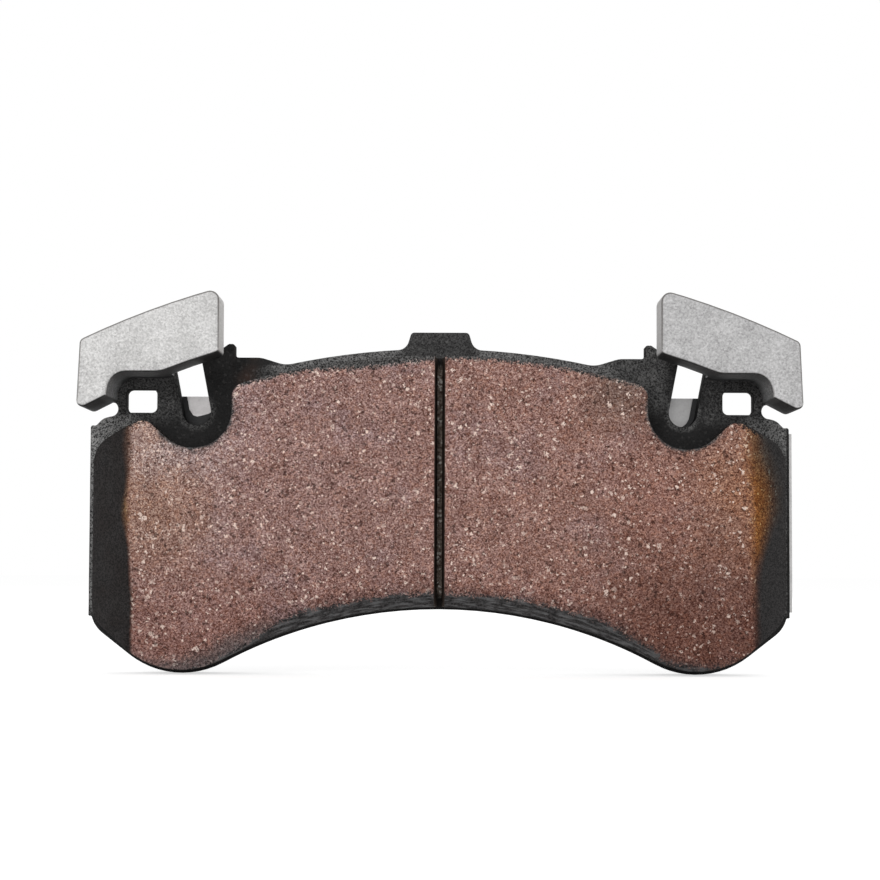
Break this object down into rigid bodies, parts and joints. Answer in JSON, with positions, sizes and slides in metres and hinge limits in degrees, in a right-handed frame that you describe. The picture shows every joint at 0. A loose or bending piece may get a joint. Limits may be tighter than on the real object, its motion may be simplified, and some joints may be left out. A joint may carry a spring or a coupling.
{
  "type": "brake pad",
  "caption": "Disc brake pad with a slotted steel backing plate, a grooved friction lining with chamfered ends, a bonded rear shim and a damper weight riveted to each ear.",
  "frame": {"origin": "the thrust centre on the piston side: the middle of the rubber coat's rear face, at the lining's mean radius", "axes": "X runs along the pad, +Y points from the rear face towards the pistons, -Y towards the disc, +Z away from the disc axis"},
  "size_m": [0.1936, 0.0282, 0.1027],
  "materials": {
    "plate_coat": "speckled charcoal powder coat on steel",
    "underlayer": "dark moulded resin and fibre",
    "friction": "fine-grained mauve-brown friction compound",
    "weight_steel": "pale blasted steel",
    "rivet_steel": "plain steel pins",
    "adhesive_film": "black bonding film",
    "shim_steel": "bare rolled sheet steel",
    "shim_rubber": "smooth matt black rubber"
  },
  "bodies": {
    "root": {"backing_plate": "plate_coat", "underlayer": "underlayer", "friction_block_left": "friction", "friction_block_right": "friction", "damper_weight_left": "weight_steel", "damper_weight_right": "weight_steel", "weight_rivet_left_outer": "rivet_steel", "weight_rivet_left_inner": "rivet_steel", "weight_rivet_right_outer": "rivet_steel", "weight_rivet_right_inner": "rivet_steel", "shim_adhesive_film": "adhesive_film", "shim_steel_sheet": "shim_steel", "shim_rubber_coat": "shim_rubber"}
  },
  "joints": []
}
